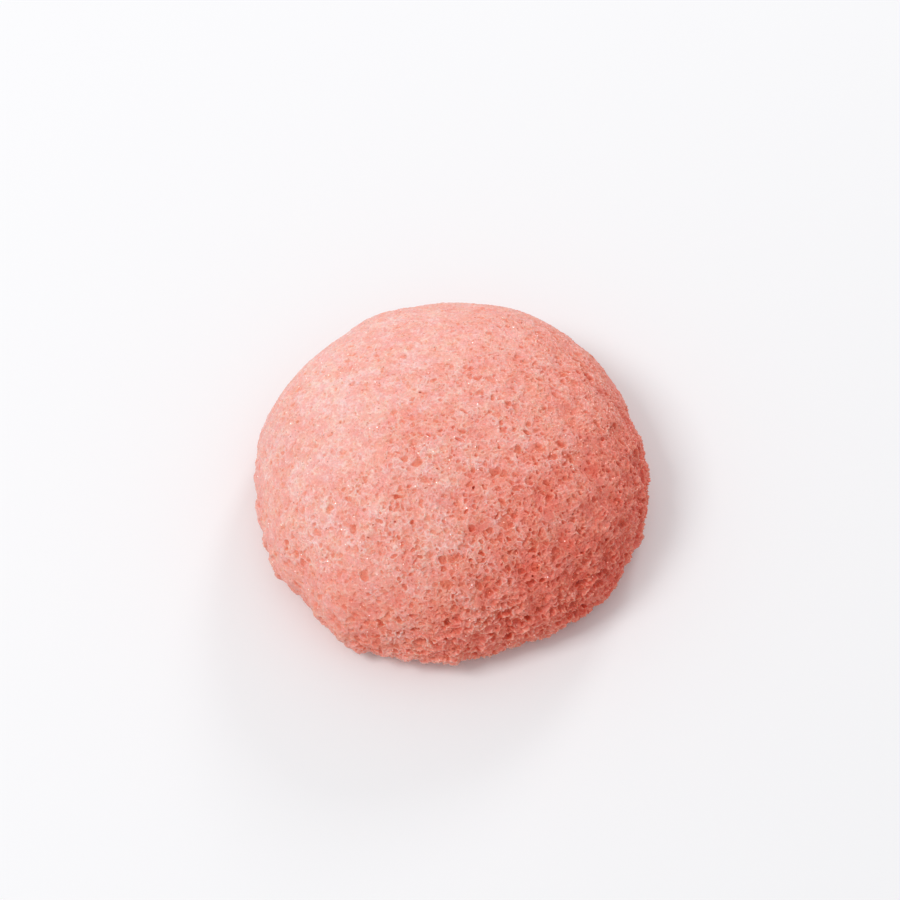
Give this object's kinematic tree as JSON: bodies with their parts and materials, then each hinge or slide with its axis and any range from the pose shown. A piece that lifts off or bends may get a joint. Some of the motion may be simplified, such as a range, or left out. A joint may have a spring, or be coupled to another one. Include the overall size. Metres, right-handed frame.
{
  "type": "konjac sponge",
  "caption": "Half-ball facial cleansing sponge of open-pored, wet konjac gel, with a domed top, a rounded crumpled rim and a flat wiping face.",
  "frame": {"origin": "centre of the flat wiping face, under the middle of the outline", "axes": "+Z out of the top of the dome, square to the flat face; +X and +Y along the flat face, with -Y towards the viewer of the picture"},
  "size_m": [0.0892, 0.0908, 0.036],
  "materials": {
    "konjac_gel": "wet, translucent, open-pored gel foam"
  },
  "bodies": {
    "root": {"sponge_body": "konjac_gel"}
  },
  "joints": []
}
